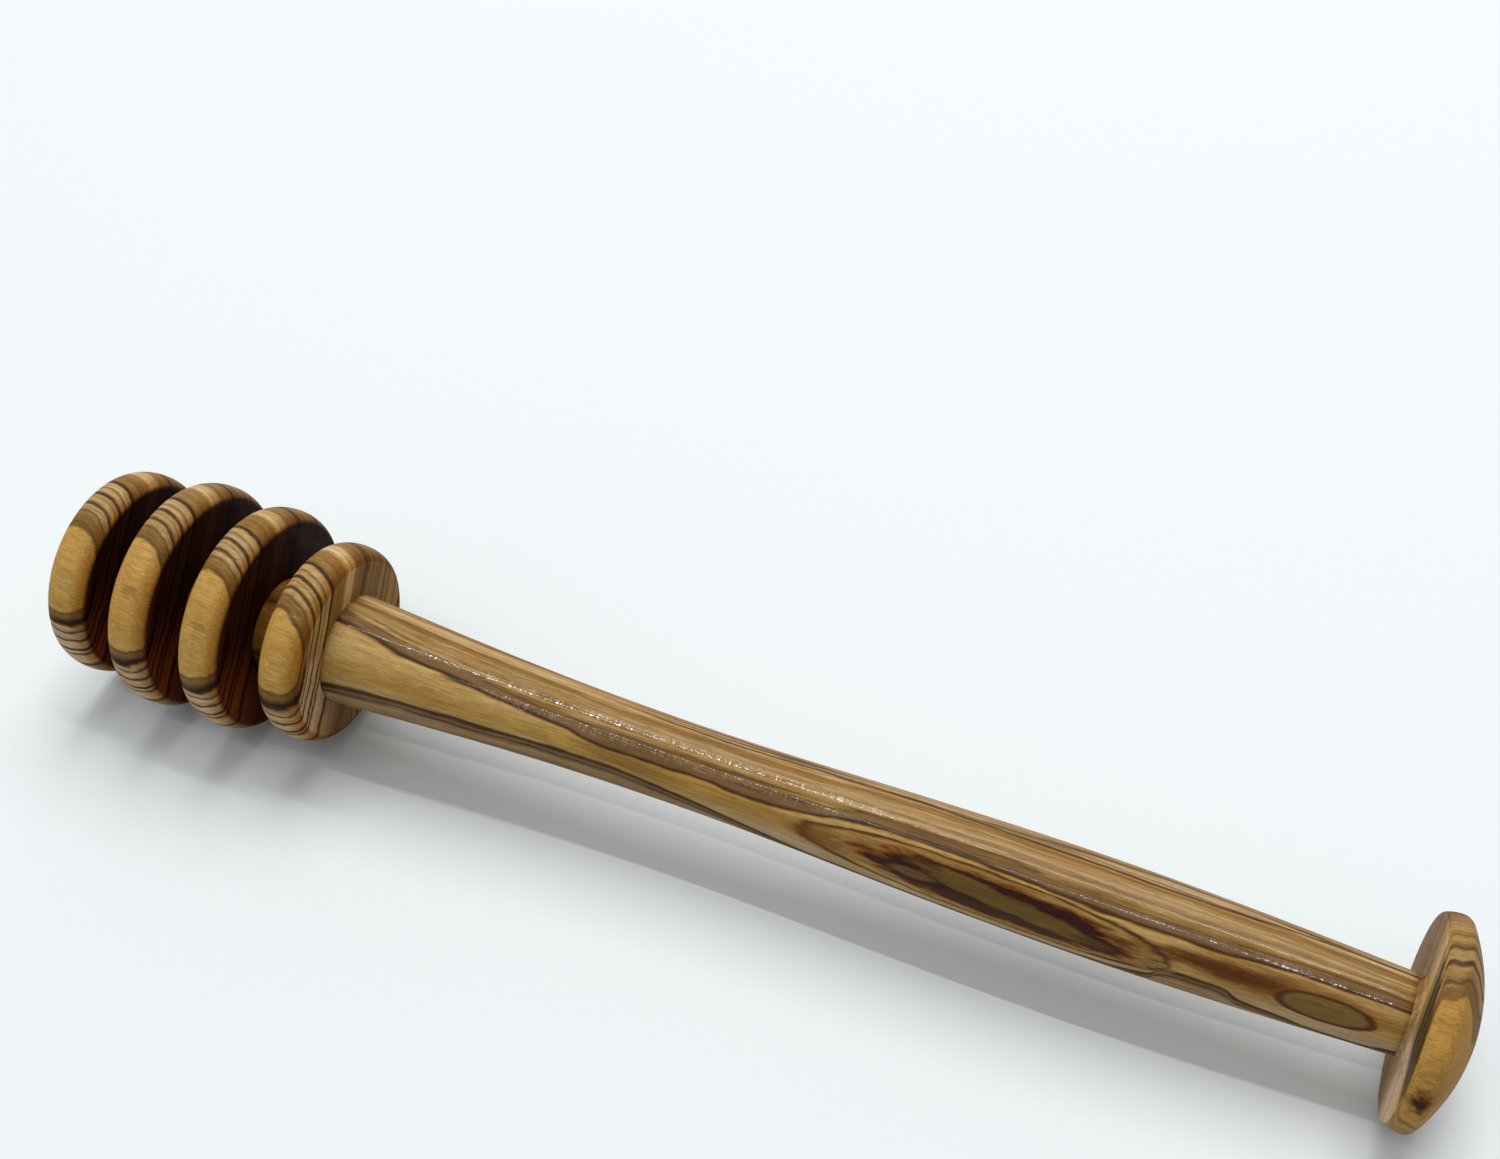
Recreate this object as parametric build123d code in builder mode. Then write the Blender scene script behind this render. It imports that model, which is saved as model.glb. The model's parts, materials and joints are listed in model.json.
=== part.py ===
from build123d import *
import os
from math import asin, atan2, cos, degrees, sin

# Honey dipper turned in olive wood, in millimetres. It lies at rest, as it does on a table: on the rim
# of its largest disc and on the rim of its end button, so its turning axis leans by about a degree.
# Profiles are drawn as (station, radius). A station is a distance along the turning axis, from the
# tip's outer face towards the button.

# Head: four discs with softly rounded rims, kept apart by three honey grooves
tip_disc_radius = 13.6
second_disc_radius = 15.0
third_disc_radius = 14.8
collar_disc_radius = 13.1
disc_thickness = 5.8
rim_depth = 1.5
first_groove = 4.4
second_groove = 4.5
third_groove = 4.6

# Core: the round bar that carries the discs and ends in a tenon inside the handle
core_radius = 6.3
tip_wall = 2.2
core_tenon_radius = 3.6
core_tenon_length = 12.0

# Handle: flares at the head, narrows to a waist, swells to a belly and narrows again at the button
handle_length = 132.6
root_radius = 7.2
flare_radius = 6.45
neck_radius = 5.55
waist_radius = 5.1
middle_radius = 5.75
belly_radius = 5.8
end_radius = 4.75
handle_station_shares = (0.08, 0.2, 0.4, 0.6, 0.8)

# End button: a flat underside with a small filleted foot, a rounded rim and a low dome
button_radius = 12.4
button_height = 6.6
foot_height = 0.8
underside_round = 0.7
edge_height = 2.0
rim_round = 1.3
button_tenon_radius = 2.4
button_wall = 2.4

# Glued joints: the radial glue line, and the gap left at the end of each tenon
glue_line = 0.05
end_gap = 0.3

# Stations that follow from the sizes above
second_disc_start = disc_thickness + first_groove
third_disc_start = second_disc_start + disc_thickness + second_groove
collar_disc_start = third_disc_start + disc_thickness + third_groove
handle_start = collar_disc_start + disc_thickness
handle_end = handle_start + handle_length
underside = handle_end + foot_height
edge = underside + edge_height
dipper_length = underside + button_height

# Rest: the lean at which the button's rim and one disc touch the table and no other disc goes below it
disc_starts = (0, second_disc_start, third_disc_start, collar_disc_start)
disc_radii = (tip_disc_radius, second_disc_radius, third_disc_radius, collar_disc_radius)
disc_middles = [start + disc_thickness / 2 for start in disc_starts]
lean = max(
    asin((radius - button_radius) / (edge - middle)) for middle, radius in zip(disc_middles, disc_radii)
)
tip_face_radius = tip_disc_radius - rim_depth
tip_height = button_radius * cos(lean) + edge * sin(lean)
tip_place = (tip_face_radius * sin(lean) - dipper_length * cos(lean)) / 2
along = Vector(cos(lean), 0, -sin(lean))
turning_plane = Plane(origin=(tip_place, 0, tip_height), x_dir=along, z_dir=(0, -1, 0))
turning_axis = Axis(turning_plane.origin, along)


def rim_arc(start, radius):
    """The half ellipse that rounds the rim of a disc."""
    middle = (start + disc_thickness / 2, radius - rim_depth)
    EllipticalCenterArc(middle, disc_thickness / 2, rim_depth, arc_size=180)


os.makedirs("parts", exist_ok=True)

# Tip disc, with a blind bore that leaves its outer face whole
bore_radius = core_radius + glue_line
with BuildPart() as tip_disc:
    with BuildSketch(turning_plane):
        with BuildLine():
            rim_arc(0, tip_disc_radius)
            Polyline(
                (0, tip_face_radius),
                (0, 0),
                (tip_wall, 0),
                (tip_wall, bore_radius),
                (disc_thickness, bore_radius),
                (disc_thickness, tip_face_radius),
            )
        make_face()
    revolve(axis=turning_axis)
tip_disc.part.label = "tip_disc"
export_step(tip_disc.part, "parts/tip_disc.step")

# The three discs that the core passes through
bored_discs = {
    "second_disc": (second_disc_start, second_disc_radius),
    "third_disc": (third_disc_start, third_disc_radius),
    "collar_disc": (collar_disc_start, collar_disc_radius),
}
for name, (start, radius) in bored_discs.items():
    with BuildPart() as bored_disc:
        with BuildSketch(turning_plane):
            with BuildLine():
                rim_arc(start, radius)
                Polyline(
                    (start, radius - rim_depth),
                    (start, bore_radius),
                    (start + disc_thickness, bore_radius),
                    (start + disc_thickness, radius - rim_depth),
                )
            make_face()
        revolve(axis=turning_axis)
    bored_disc.part.label = name
    export_step(bored_disc.part, f"parts/{name}.step")

# Core, from inside the tip disc through the other discs and on into the handle
core_start = tip_wall + end_gap
core_tenon_end = handle_start + core_tenon_length
with BuildPart() as head_core:
    with BuildSketch(turning_plane):
        with BuildLine():
            Polyline(
                (core_start, 0),
                (core_start, core_radius),
                (handle_start, core_radius),
                (handle_start, core_tenon_radius),
                (core_tenon_end, core_tenon_radius),
                (core_tenon_end, 0),
                close=True,
            )
        make_face()
    revolve(axis=turning_axis)
head_core.part.label = "head_core"
export_step(head_core.part, "parts/head_core.step")

# Handle, with a socket for the core's tenon and a tenon of its own for the button
socket_radius = core_tenon_radius + glue_line
socket_end = core_tenon_end + end_gap
button_socket_end = dipper_length - button_wall
button_tenon_end = button_socket_end - end_gap
swell_radii = (flare_radius, neck_radius, waist_radius, middle_radius, belly_radius)
swell_points = [
    (handle_start + share * handle_length, radius)
    for share, radius in zip(handle_station_shares, swell_radii)
]
with BuildPart() as handle:
    with BuildSketch(turning_plane):
        with BuildLine():
            Spline((handle_start, root_radius), *swell_points, (handle_end, end_radius))
            Polyline(
                (handle_end, end_radius),
                (handle_end, button_tenon_radius),
                (button_tenon_end, button_tenon_radius),
                (button_tenon_end, 0),
                (socket_end, 0),
                (socket_end, socket_radius),
                (handle_start, socket_radius),
                (handle_start, root_radius),
            )
        make_face()
    revolve(axis=turning_axis)
handle.part.label = "handle"
export_step(handle.part, "parts/handle.step")

# End button. Its rim arc runs into the dome's arc without a corner, and the dome is centred on the axis.
rim_centre_radius = button_radius - rim_round
dome_rise = button_height - edge_height - rim_round
dome_setback = (rim_centre_radius**2 - dome_rise**2) / (2 * dome_rise)
dome_radius = dome_setback + dome_rise + rim_round
blend_angle = degrees(atan2(rim_centre_radius, dome_setback))
button_bore_radius = button_tenon_radius + glue_line
with BuildPart() as end_button:
    with BuildSketch(turning_plane):
        with BuildLine():
            foot = CenterArc((handle_end, end_radius + foot_height), foot_height, -90, 90)
            Line(foot @ 1, (underside, button_radius - underside_round))
            rim_foot = (edge, button_radius - underside_round)
            EllipticalCenterArc(rim_foot, edge_height, underside_round, 90, arc_size=90)
            CenterArc((edge, rim_centre_radius), rim_round, blend_angle, 90 - blend_angle)
            CenterArc((edge - dome_setback, 0), dome_radius, 0, blend_angle)
            Polyline(
                (dipper_length, 0),
                (button_socket_end, 0),
                (button_socket_end, button_bore_radius),
                (handle_end, button_bore_radius),
                (handle_end, end_radius),
            )
        make_face()
    revolve(axis=turning_axis)
end_button.part.label = "end_button"
export_step(end_button.part, "parts/end_button.step")
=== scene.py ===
import json
from math import atan2, cos, degrees, pi, radians, sin
import bmesh
import bpy
from mathutils import Matrix, Vector, noise


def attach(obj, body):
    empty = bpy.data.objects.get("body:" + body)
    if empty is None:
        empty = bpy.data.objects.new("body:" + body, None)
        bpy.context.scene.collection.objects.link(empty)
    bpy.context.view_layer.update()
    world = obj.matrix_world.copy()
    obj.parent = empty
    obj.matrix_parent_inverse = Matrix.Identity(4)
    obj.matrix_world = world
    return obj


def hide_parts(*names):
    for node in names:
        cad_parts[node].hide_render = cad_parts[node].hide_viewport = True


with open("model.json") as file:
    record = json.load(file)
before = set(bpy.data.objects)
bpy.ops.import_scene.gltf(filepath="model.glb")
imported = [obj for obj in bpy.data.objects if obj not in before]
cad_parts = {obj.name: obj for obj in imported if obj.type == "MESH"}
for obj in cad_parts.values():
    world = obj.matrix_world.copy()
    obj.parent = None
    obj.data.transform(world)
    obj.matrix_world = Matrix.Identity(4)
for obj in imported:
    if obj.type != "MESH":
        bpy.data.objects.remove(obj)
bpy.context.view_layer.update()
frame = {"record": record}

# Everything is turned about one axis. A station is a distance along it from the tip's outer face.
tipMount = next(mount for mount in frame["record"]["mounts"] if mount["name"] == "tip_face")
tipPoint = Vector(tipMount["pos_m"])
along = -Vector(tipMount["axis"]).normalized()
backward = Vector((0, 1, 0))
upward = along.cross(backward).normalized()

# Sizes shared by neighbouring pieces, in metres
discThickness = 0.0058
rimDepth = 0.0015
discStarts = [0, 0.0102, 0.0205, 0.0309]
discRadii = [0.0136, 0.0150, 0.0148, 0.0131]
coreRadius = 0.0063
coreTenonRadius = 0.0036
coreTenonLength = 0.012
glueLine = 0.00005
endGap = 0.0003
tipWall = 0.0022
handleStart = discStarts[3] + discThickness
handleLength = 0.1326
handleEnd = handleStart + handleLength
endRadius = 0.00475
buttonTenonRadius = 0.0024
buttonWall = 0.0024
footHeight = 0.0008
buttonHeight = 0.0066
underside = handleEnd + footHeight
dipperLength = underside + buttonHeight
coreTenonEnd = handleStart + coreTenonLength
buttonSocketEnd = dipperLength - buttonWall
millimetres = 1000  # in a metre: the wood's figure is laid out in millimetres
print("frame read, axis from", tuple(round(value, 4) for value in tipPoint))


# Points (station, radius) on an elliptical arc, angles in degrees from the station direction.
def arcPoints(centre, radii, start, end, count):
    angles = [radians(start + (end - start) * step / count) for step in range(count + 1)]
    return [(centre[0] + radii[0] * cos(angle), centre[1] + radii[1] * sin(angle)) for angle in angles]


# Evenly spaced points from first to last.
def straight(first, last, count):
    return [
        (first[0] + (last[0] - first[0]) * step / count, first[1] + (last[1] - first[1]) * step / count)
        for step in range(count + 1)
    ]


# Every piece is turned alike and comes out a little uneven, like hand work
turning = {
    "steps": 224,  # points round the axis
    "sameSpot": 1e-7,  # points nearer than this are one
    "waves": (60, 0.8),  # how fast the unevenness changes along and round the piece
    "calmRadius": 0.004,  # below it the unevenness dies out
}


# A ring of points round the axis, or a single point on it.
def turnRing(mesh, station, radius, wobble, seed):
    middle = tipPoint + along * station
    if radius < turning["sameSpot"]:
        return [mesh.verts.new(middle)]
    alongWaves, roundWaves = turning["waves"]
    ring = []
    for step in range(turning["steps"]):
        angle = 2 * pi * step / turning["steps"]
        outward = backward * cos(angle) + upward * sin(angle)
        place = Vector((station * alongWaves, cos(angle) * roundWaves + seed, sin(angle) * roundWaves))
        uneven = wobble * (0.5 + 0.5 * noise.noise(place)) * min(1, radius / turning["calmRadius"])
        ring.append(mesh.verts.new(middle + outward * (radius - uneven)))
    return ring


# A turned piece from a closed (station, radius) profile, in the place of its plain solid.
def turnPiece(node, profile, look, seed):
    spots = [profile[0]]
    for spot in profile[1:]:
        if (Vector(spot) - Vector(spots[-1])).length > turning["sameSpot"]:
            spots.append(spot)
    mesh = bmesh.new()
    rings = [turnRing(mesh, station, radius, look["wobble"], seed) for station, radius in spots]
    for here, there in zip(rings, rings[1:] + rings[:1]):
        if len(here) == 1 and len(there) == 1:
            continue
        for step in range(turning["steps"]):
            after = (step + 1) % turning["steps"]
            corners = [here[step % len(here)], there[step % len(there)]]
            if len(there) > 1:
                corners.append(there[after])
            if len(here) > 1:
                corners.append(here[after])
            mesh.faces.new(corners)
    bmesh.ops.recalc_face_normals(mesh, faces=mesh.faces)
    data = bpy.data.meshes.new("turned_" + node)
    mesh.to_mesh(data)
    mesh.free()
    data.shade_smooth()
    piece = bpy.data.objects.new("turned_" + node, data)
    bpy.context.collection.objects.link(piece)
    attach(piece, "root")
    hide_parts(node)
    return piece


# Shader helpers. A value given to them is a plain number or colour, or another node's socket.
# Links a socket to another, or sets a plain value on it.
def feed(tree, value, socket):
    if isinstance(value, bpy.types.NodeSocket):
        tree.links.new(value, socket)
    else:
        socket.default_value = value


# A node with its settings, and with inputs given in order or by name. Gives back its outputs.
def addNode(tree, kind, given=(), **settings):
    node = tree.nodes.new("ShaderNode" + kind)
    for name, value in settings.items():
        setattr(node, name, value)
    for key, value in given.items() if isinstance(given, dict) else enumerate(given):
        feed(tree, value, node.inputs[key])
    return node.outputs


# Math on sockets and plain numbers, one node for each step.
def calc(tree, operation, *values):
    return addNode(tree, "Math", values, operation=operation)[0]


def plus(tree, total, *others):
    for value in others:
        total = calc(tree, "ADD", total, value)
    return total


def times(tree, product, *others):
    for value in others:
        product = calc(tree, "MULTIPLY", product, value)
    return product


def minus(tree, first, second):
    return calc(tree, "SUBTRACT", first, second)


# A vector from its parts.
def combine(tree, *parts):
    return addNode(tree, "CombineXYZ", parts)[0]


# How far a vector reaches in a direction.
def reach(tree, vector, direction):
    return addNode(tree, "VectorMath", (vector, direction), operation="DOT_PRODUCT")["Value"]


# Maps one (low, high) range onto another, and stops at its ends.
def reshape(tree, value, fromRange, toRange, kind="LINEAR"):
    names = ("Value", "From Min", "From Max", "To Min", "To Max")
    given = dict(zip(names, (value, *fromRange, *toRange)))
    return addNode(tree, "MapRange", given, interpolation_type=kind)[0]


# The same with soft ends.
def ease(tree, value, fromRange, toRange):
    return reshape(tree, value, fromRange, toRange, "SMOOTHSTEP")


# Noise from 0 to 1, sized by the vector that it is given.
def cloud(tree, vector, detail=2, roughness=0.5):
    given = {"Vector": vector, "Scale": 1, "Detail": detail, "Roughness": roughness}
    return addNode(tree, "TexNoise", given)["Fac"]


# Noise over three measures. Its look is (cycles, detail, roughness), with cycles in one unit of each
# measure; where a measure is 1, its cycles are a seed.
def stretchedCloud(tree, measures, look):
    cycles, detail, roughness = look
    parts = [times(tree, measure, cycle) for measure, cycle in zip(measures, cycles)]
    return cloud(tree, combine(tree, *parts), detail, roughness)


# A colour mix node, whose colour sockets are the third pair of its inputs.
def mixColour(tree, amount, first, second, blend="MIX"):
    given = {0: amount, 6: first, 7: second}
    return addNode(tree, "Mix", given, data_type="RGBA", blend_type=blend)[2]


# A colour multiplied by another.
def tinted(tree, colour, tint):
    return mixColour(tree, 1, colour, tint, "MULTIPLY")


# A colour made lighter or darker by one value.
def shaded(tree, colour, shade):
    return tinted(tree, colour, combine(tree, shade, shade, shade))


# Colours laid along a value. Each stop is (value, tint), and the stops' own ends are the usual span.
def rampColour(tree, value, stops, span=None):
    low, high = span or (stops[0][0], stops[-1][0])
    node = tree.nodes.new("ShaderNodeValToRGB")
    elements = node.color_ramp.elements
    for number, (place, tint) in enumerate(stops):
        element = elements[number] if number < 2 else elements.new(1)
        element.position = (place - low) / (high - low)
        element.color = palette[tint]
    feed(tree, reshape(tree, value, (low, high), (0, 1)), node.inputs[0])
    return node.outputs["Color"]


# A smooth curve through points of (value, result).
def curveValue(tree, value, points):
    node = tree.nodes.new("ShaderNodeFloatCurve")
    (left, right), (low, high) = ((min(row), max(row)) for row in zip(*points))
    curve = node.mapping.curves[0]
    for number, (x, y) in enumerate(points):
        place = ((x - left) / (right - left), (y - low) / (high - low))
        if number < 2:
            curve.points[number].location = place
        else:
            curve.points.new(*place)
    node.mapping.update()
    feed(tree, reshape(tree, value, (left, right), (0, 1)), node.inputs["Value"])
    return reshape(tree, node.outputs[0], (0, 1), (low, high))


# A shader node group, whose inputs are (name, default), with its own input and output sockets.
def newGroup(name, inputs, outputs):
    group = bpy.data.node_groups.new(name, "ShaderNodeTree")
    for label, value in inputs:
        socket = group.interface.new_socket(label, in_out="INPUT", socket_type="NodeSocketFloat")
        socket.default_value = value
    for label in outputs:
        group.interface.new_socket(label, in_out="OUTPUT", socket_type="NodeSocketFloat")
    return group, group.nodes.new("NodeGroupInput").outputs, group.nodes.new("NodeGroupOutput").inputs


def useGroup(tree, group, given):
    return addNode(tree, "Group", given, node_tree=group)


# Where a point lies in the turned piece, in millimetres: station along the axis, and depth and side
# across it. Depth runs square to the growth layers, which face "Facing" degrees round from the back.
def makePlaceGroup():
    outputs = ["Station", "Depth", "Side", "Radius", "End Grain"]
    tree, given, results = newGroup("turnedPlace", [("Facing", 136)], outputs)
    coordinates = addNode(tree, "TexCoord")
    offset = addNode(tree, "VectorMath", (coordinates["Object"], tipPoint), operation="SUBTRACT")["Vector"]
    station, back, high = (reach(tree, offset, way * millimetres) for way in (along, backward, upward))
    facing = calc(tree, "RADIANS", given["Facing"])
    cosine, sine = calc(tree, "COSINE", facing), calc(tree, "SINE", facing)
    depth = plus(tree, times(tree, back, cosine), times(tree, high, sine))
    side = minus(tree, times(tree, high, cosine), times(tree, back, sine))
    radius = calc(tree, "SQRT", plus(tree, times(tree, back, back), times(tree, high, high)))
    endGrain = calc(tree, "ABSOLUTE", reach(tree, coordinates["Normal"], along))
    for label, value in zip(outputs, (station, depth, side, radius, endGrain)):
        feed(tree, value, results[label])
    return tree


# How the grain runs. Each noise is over millimetres along the axis, square to the layers and across them.
grainLook = {
    "slowDrift": ((0.05, 0.1, 0.14), 1, 0.5), "quickDrift": ((0.22, 0.35, 0.6), 2, 0.5),
    "jags": ((0.7, 0.8, 1.6), 3, 0.6),
    "driftShares": {"slowDrift": 1, "quickDrift": 0.6, "jags": 0.3},
    # lines in the layers, over millimetres square to them, along the axis and across
    "fineLines": ((3.4, 0.02, 0.05), 3, 0.6), "fineFade": (0.35, 0.68),
    "boldLines": ((0.75, 0.012, 7.3), 1, 0.5), "boldFade": (0.008, 0.045),
    "streaks": ((0.16, 5, 5), 3, 0.6), "streakSpread": (0.3, 0.7),
    "blush": ((0.11, 0.3, 0.3), 2, 0.5), "blushSpread": (0.35, 0.65),
    "pores": ((0.9, 9, 9), 1, 0.4), "poreFade": (0.66, 0.76),
}
grainSpace = ("Station", "Depth", "Side")


# Growth layers wander: slow drifts along the grain, quicker ones across it. Drift is in millimetres.
def makeLayerGroup():
    inputs = [("Station", 0), ("Depth", 0), ("Side", 0), ("Drift", 0.5)]
    tree, given, results = newGroup("growthLayers", inputs, ["Layer", "Fine Lines", "Bold Lines"])
    measures = [given[label] for label in grainSpace]
    shift = 0
    for label, share in grainLook["driftShares"].items():
        drift = stretchedCloud(tree, measures, grainLook[label])
        shift = plus(tree, shift, times(tree, minus(tree, drift, 0.5), share))
    layer = plus(tree, given["Depth"], times(tree, shift, given["Drift"], 2))
    feed(tree, layer, results["Layer"])
    fine = stretchedCloud(tree, (layer, given["Station"], given["Side"]), grainLook["fineLines"])
    feed(tree, ease(tree, fine, grainLook["fineFade"], (0, 1)), results["Fine Lines"])
    bold = stretchedCloud(tree, (layer, given["Station"], 1), grainLook["boldLines"])
    fromLine = calc(tree, "ABSOLUTE", minus(tree, bold, 0.5))
    feed(tree, ease(tree, fromLine, grainLook["boldFade"], (1, 0)), results["Bold Lines"])
    return tree


# Fibres and pores run with the grain; on end grain they are dots.
def makeFibreGroup():
    inputs = [(label, 0) for label in grainSpace]
    tree, given, results = newGroup("woodFibres", inputs, ["Streaks", "Pores", "Blush"])
    measures = [given[label] for label in grainSpace]
    feed(tree, stretchedCloud(tree, measures, grainLook["streaks"]), results["Streaks"])
    pores = stretchedCloud(tree, measures, grainLook["pores"])
    feed(tree, ease(tree, pores, grainLook["poreFade"], (0, 1)), results["Pores"])
    feed(tree, stretchedCloud(tree, measures, grainLook["blush"]), results["Blush"])
    return tree


# How the oiled finish lies on the wood
finishLook = {
    # tool marks are noise over millimetres of station and radius, pits and flashes follow the streaks too
    "toolMarks": ((4.5, 4.5, 0), 3, 0.65), "toolSpread": (0.3, 0.7),
    "pits": ((2.6, 9, 1), 3, 0.7), "flash": ((2.2, 14, 1), 2, 0.6), "flashFade": (0.58, 0.63),
    "toolHeight": 0.35, "fibreHeight": 0.5, "pitHeight": 0.5, "poreHeight": 0.6, "poreDepth": 0.9,
    "roughness": 0.45, "glossSmooths": 0.3, "endGrainDulls": 0.12, "fibresDull": 0.16,
    "poresTakeCoat": 0.8, "endGrainCoat": 0.6, "bumpDistance": 0.0001, "specular": 0.03,
}


# Faint rings that the turning tool and sandpaper leave round the axis, and the oiled finish on top.
def makeFinishGroup():
    inputs = [("Station", 0), ("Radius", 0), ("Streaks", 0.5), ("Pores", 0), ("End Grain", 0)]
    inputs += [("Gloss", 0.5), ("Glint", 0)]
    tree, given, results = newGroup("oiledFinish", inputs, ["Roughness", "Coat", "Height", "Tool Marks"])
    look = finishLook
    marks = stretchedCloud(tree, (given["Station"], given["Radius"], 1), look["toolMarks"])
    feed(tree, marks, results["Tool Marks"])
    measures = [given[label] for label in ("Station", "Streaks", "Radius")]
    height = plus(
        tree,
        times(tree, marks, look["toolHeight"]),
        times(tree, given["Streaks"], look["fibreHeight"]),
        times(tree, stretchedCloud(tree, measures, look["pits"]), look["pitHeight"]),
        times(tree, minus(tree, 1, times(tree, given["Pores"], look["poreDepth"])), look["poreHeight"]),
    )
    feed(tree, height, results["Height"])
    roughness = plus(
        tree,
        minus(tree, look["roughness"], times(tree, given["Gloss"], look["glossSmooths"])),
        times(tree, given["End Grain"], look["endGrainDulls"]),
        times(tree, given["Streaks"], look["fibresDull"]),
    )
    feed(tree, roughness, results["Roughness"])
    coat = times(
        tree,
        given["Gloss"],
        minus(tree, 1, times(tree, given["Pores"], look["poresTakeCoat"])),
        reshape(tree, given["End Grain"], (0, 1), (1, look["endGrainCoat"])),
    )
    flash = ease(tree, stretchedCloud(tree, measures, look["flash"]), look["flashFade"], (0, 1))
    feed(tree, plus(tree, coat, times(tree, flash, given["Glint"])), results["Coat"])
    return tree


# How ragged a small knot is, how it fades from its middle, and the depth at which it comes in
knotLook = {
    "ragged": ((1, 1.4, 1), 2, 0.5), "raggedSpread": (0.3, 0.7), "raggedness": 0.3,
    "fade": (0.25, 1), "frontDepth": (1, 3),
}


# A small knot: a mark round one station and side, on the faces that look out from the layers.
def makeKnotGroup():
    inputs = [(label, 0) for label in (*grainSpace, "Knot Station", "Knot Side")]
    inputs += [("Length", 1), ("Width", 1)]
    tree, given, results = newGroup("smallKnot", inputs, ["Mark"])
    alongIt = calc(tree, "DIVIDE", minus(tree, given["Station"], given["Knot Station"]), given["Length"])
    acrossIt = calc(tree, "DIVIDE", minus(tree, given["Side"], given["Knot Side"]), given["Width"])
    distance = calc(tree, "SQRT", plus(tree, times(tree, alongIt, alongIt), times(tree, acrossIt, acrossIt)))
    measures = [given[label] for label in ("Station", "Side", "Depth")]
    ragged = stretchedCloud(tree, measures, knotLook["ragged"])
    drift = (-knotLook["raggedness"], knotLook["raggedness"])
    distance = plus(tree, distance, reshape(tree, ragged, knotLook["raggedSpread"], drift))
    front = reshape(tree, given["Depth"], knotLook["frontDepth"], (0, 1))
    feed(tree, times(tree, ease(tree, distance, knotLook["fade"], (1, 0)), front), results["Mark"])
    return tree


# Wood tints, as linear red, green and blue
palette = {
    "cream": (0.54, 0.325, 0.088, 1),
    "creamLow": (0.56, 0.37, 0.165, 1),
    "orangeCream": (0.48, 0.268, 0.068, 1),
    "pale": (0.74, 0.53, 0.26, 1),
    "tan": (0.45, 0.29, 0.115, 1),
    # lightened and greyed beyond the wood's own tone: painted sheen and light on the lower rims
    "greyTanAndSheen": (0.68, 0.48, 0.29, 1),
    "shadedTan": (0.45, 0.31, 0.18, 1),
    "ashTan": (0.35, 0.232, 0.115, 1),
    "ashBrown": (0.22, 0.138, 0.065, 1),
    "gold": (0.33, 0.185, 0.055, 1),
    "honey": (0.24, 0.13, 0.036, 1),
    "amber": (0.19, 0.07, 0.006, 1),
    "ember": (0.11, 0.026, 0.002, 1),
    "redBrown": (0.034, 0.004, 0.002, 1),
    "mauve": (0.19, 0.11, 0.05, 1),
    "brown": (0.11, 0.057, 0.019, 1),
    "dark": (0.058, 0.027, 0.009, 1),
    "black": (0.02, 0.009, 0.003, 1),
    "olive": (0.15, 0.09, 0.018, 1),
    "smallOlive": (0.205, 0.125, 0.032, 1),
    "figure": (0.53, 0.345, 0.125, 1),
    "figureDeep": (0.45, 0.26, 0.055, 1),
    "figureMid": (0.48, 0.31, 0.105, 1),
    "figureUnder": (0.46, 0.335, 0.20, 1),
}
placeGroup, layerGroup, fibreGroup = makePlaceGroup(), makeLayerGroup(), makeFibreGroup()
finishGroup, knotGroup = makeFinishGroup(), makeKnotGroup()
print("shader groups made")


# A material with only its shader and output, and its node tree.
def newMaterial(name):
    material = bpy.data.materials.new(name)
    material.use_nodes = True
    return material, material.node_tree, material.node_tree.nodes["Principled BSDF"]


# Growth layers and fibres at a place.
def useGrain(tree, place, depth, drift):
    given = {"Station": place["Station"], "Depth": depth, "Side": place["Side"]}
    layers = useGroup(tree, layerGroup, {**given, "Drift": drift})
    return layers, useGroup(tree, fibreGroup, {**given, "Depth": place["Depth"]})


# Fibres, a warmer blush here and there, and pores in the colour.
def fibreColour(tree, colour, fibres, look):
    streakShades = (1 - look["streaks"], 1 + look["streaks"] / 2)
    colour = shaded(tree, colour, reshape(tree, fibres["Streaks"], grainLook["streakSpread"], streakShades))
    blush = reshape(tree, fibres["Blush"], grainLook["blushSpread"], (0, look["blush"]))
    colour = mixColour(tree, blush, colour, tinted(tree, colour, look["blushTint"]))
    return mixColour(tree, times(tree, fibres["Pores"], look["pores"]), colour, palette["dark"])


# The oiled finish that every piece ends with.
def oilWood(tree, shader, colour, place, fibres, look, glintZone=1):
    given = {
        "Station": place["Station"], "Radius": place["Radius"], "End Grain": place["End Grain"],
        "Streaks": fibres["Streaks"], "Pores": fibres["Pores"],
        "Gloss": look["gloss"], "Glint": times(tree, glintZone, look["glint"]),
    }
    finish = useGroup(tree, finishGroup, given)
    markShades = (1 - look["toolMarks"], 1 + look["toolMarks"])
    marks = reshape(tree, finish["Tool Marks"], finishLook["toolSpread"], markShades)
    bump = {"Strength": look["bump"], "Distance": finishLook["bumpDistance"], "Height": finish["Height"]}
    feed(tree, addNode(tree, "Bump", bump)[0], shader.inputs["Normal"])
    feed(tree, shaded(tree, colour, marks), shader.inputs["Base Color"])
    feed(tree, finish["Roughness"], shader.inputs["Roughness"])
    feed(tree, finish["Coat"], shader.inputs["Coat Weight"])
    shader.inputs["Coat Roughness"].default_value = look["coatRoughness"]
    shader.inputs["Coat IOR"].default_value = look["coatIor"]
    shader.inputs["Specular IOR Level"].default_value = finishLook["specular"]


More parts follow.
